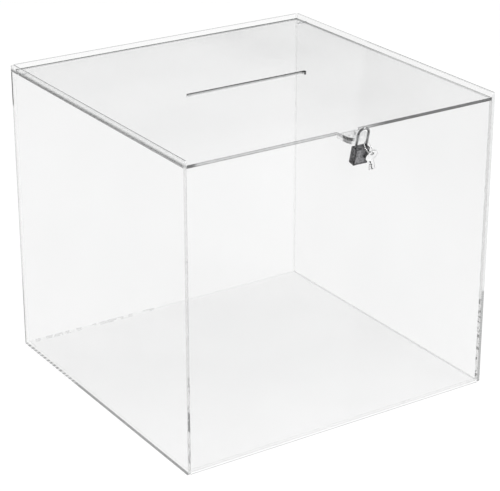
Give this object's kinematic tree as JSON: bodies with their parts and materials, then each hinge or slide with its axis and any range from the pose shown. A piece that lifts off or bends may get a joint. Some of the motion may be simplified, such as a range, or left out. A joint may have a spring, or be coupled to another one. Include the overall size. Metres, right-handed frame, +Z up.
{
  "type": "ballot box",
  "caption": "Clear acrylic ballot box with a slotted lid pivoting on side pins and a small padlock with keys through its two front lock tabs.",
  "frame": {"origin": "centre of the underside of the floor panel", "axes": "+Z up; the padlock side faces -Y; +X is to the right of a person facing the padlock"},
  "size_m": [0.45, 0.463, 0.4018],
  "materials": {
    "acrylic_wall": "polished clear acrylic sheet",
    "acrylic_lid": "polished clear acrylic sheet",
    "hinge_steel": "ground steel pin",
    "case_steel": "dark satin steel case",
    "shackle_steel": "polished hardened steel",
    "works_brass": "turned brass",
    "spring_steel": "spring wire",
    "key_steel": "bright nickel plate"
  },
  "bodies": {
    "box": {"floor_panel": "acrylic_wall", "front_panel": "acrylic_wall", "back_panel": "acrylic_wall", "left_panel": "acrylic_wall", "right_panel": "acrylic_wall", "lower_lock_tab": "acrylic_lid", "hinge_pin_left": "hinge_steel", "hinge_pin_right": "hinge_steel"},
    "lid": {"lid": "acrylic_lid"},
    "padlock": {"padlock_case": "case_steel", "lock_plug": "works_brass", "plug_retaining_pin": "hinge_steel", "key_pins": "works_brass", "driver_pins": "spring_steel", "pin_springs": "spring_steel", "pin_chamber_plugs": "works_brass", "shackle_spring": "spring_steel", "shackle_stop_pin": "hinge_steel", "latch_spring": "spring_steel"},
    "shackle": {"shackle": "shackle_steel"},
    "latch": {"latch_bolt": "works_brass"},
    "ring": {"key_ring": "key_steel"},
    "front_key": {"key_front": "key_steel"},
    "rear_key": {"key_rear": "key_steel"}
  },
  "joints": [
    {"name": "lid_hinge", "type": "hinge", "parent": "box", "child": "lid", "pos_m": [0, 0.193, 0.3925], "axis": [-1, 0, 0], "range_deg": [0, 150]},
    {"name": "padlock_swing", "type": "hinge", "parent": "box", "child": "padlock", "pos_m": [0.0023, -0.233, 0.3905], "axis": [1, 0, 0], "range_deg": [-28, 0]},
    {"name": "shackle_lift", "type": "slide", "parent": "padlock", "child": "shackle", "axis": [0, -0.2419, 0.9703], "range_m": [0, 0.0075], "deforming": ["shackle_spring"]},
    {"name": "latch_slide", "type": "slide", "parent": "padlock", "child": "latch", "axis": [1, 0, 0], "range_m": [0, 0.00187], "deforming": ["latch_spring"]},
    {"name": "ring_swing", "type": "hinge", "parent": "padlock", "child": "ring", "pos_m": [0.01577, -0.22848, 0.37991], "axis": [-0.766, -0.6237, -0.1555], "range_deg": [0, 40]},
    {"name": "front_key_swing", "type": "hinge", "parent": "ring", "child": "front_key", "pos_m": [0.02221, -0.23478, 0.36673], "axis": [0, 0.9703, 0.2419], "range_deg": [-20, 20]},
    {"name": "rear_key_swing", "type": "hinge", "parent": "ring", "child": "rear_key", "pos_m": [0.02381, -0.23348, 0.36705], "axis": [0, 0.9703, 0.2419], "range_deg": [-20, 20]}
  ],
  "couplings": [
    {"joint": "latch_slide", "follows": "shackle_lift", "ratio": 0.25}
  ]
}
